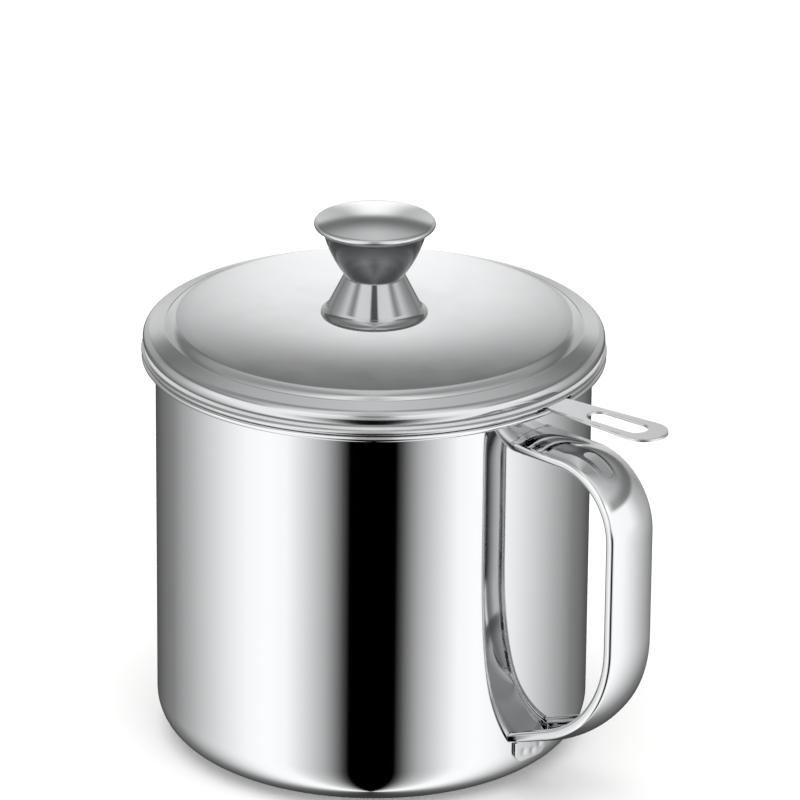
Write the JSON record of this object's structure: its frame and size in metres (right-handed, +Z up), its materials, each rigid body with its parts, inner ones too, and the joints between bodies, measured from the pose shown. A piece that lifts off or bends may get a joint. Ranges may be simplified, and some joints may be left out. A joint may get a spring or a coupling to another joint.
{
  "type": "bacon grease container",
  "caption": "Straight-sided steel pot with a strap handle, a drop-in pan strainer with a hanging tab, and a domed lid with a spun knob.",
  "frame": {"origin": "centre of the pot's flat bottom, on the surface that it stands on", "axes": "+Z up along the pot's axis, +X out along the handle"},
  "size_m": [0.1913, 0.149, 0.1772],
  "materials": {
    "mirror_steel": "mirror polished",
    "satin_steel": "satin polished",
    "sieve_steel": "perforated, satin",
    "knob_steel": "spun, polished",
    "fastener_steel": "bright"
  },
  "bodies": {
    "pot": {"pot_body": "mirror_steel", "pot_handle": "mirror_steel"},
    "strainer": {"strainer_bowl": "satin_steel", "sieve_disc": "sieve_steel", "sieve_clamp_ring": "mirror_steel", "strainer_tab": "satin_steel"},
    "lid": {"lid_shell": "satin_steel", "lid_skirt": "satin_steel", "knob_base": "knob_steel", "knob_body": "knob_steel", "knob_cap": "satin_steel", "knob_insert": "fastener_steel", "knob_screw": "fastener_steel", "knob_washer": "fastener_steel"}
  },
  "joints": [
    {"name": "strainer_lift", "type": "slide", "parent": "pot", "child": "strainer", "axis": [0, 0, 1], "range_m": [0, 0.033]},
    {"name": "lid_lift", "type": "slide", "parent": "strainer", "child": "lid", "axis": [0, 0, 1], "range_m": [0, 0.034]}
  ]
}
